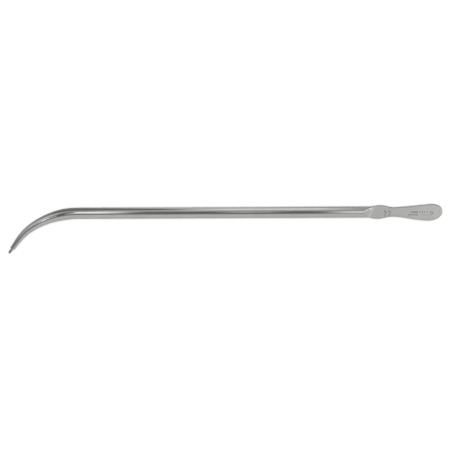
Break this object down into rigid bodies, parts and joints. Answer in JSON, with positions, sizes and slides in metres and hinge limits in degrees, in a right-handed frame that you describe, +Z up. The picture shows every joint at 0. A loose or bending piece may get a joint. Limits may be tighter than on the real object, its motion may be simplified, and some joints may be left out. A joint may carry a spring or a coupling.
{
  "type": "urethral sound",
  "caption": "Curved steel dilating sound: round straight shaft, tapering curved beak with a small screwed-in guide stud at the tip, and a flat waisted handle with a paddle end.",
  "frame": {"origin": "middle of the bounding box, on the table", "axes": "+X along the straight shaft towards the handle, the beak bends towards -Y, +Z up out of the handle's stamped face"},
  "size_m": [0.28, 0.031, 0.0073],
  "materials": {
    "polished_steel": "polished stainless steel, with satin ground faces on the handle",
    "stud_steel": "bright machined stainless steel"
  },
  "bodies": {
    "sound": {"sound_body": "polished_steel"},
    "stud": {"tip_stud": "stud_steel"}
  },
  "joints": [
    {"name": "stud_unscrew", "type": "slide", "parent": "sound", "child": "stud", "axis": [-0.5878, -0.809, 0], "range_m": [0, 0.005]}
  ]
}
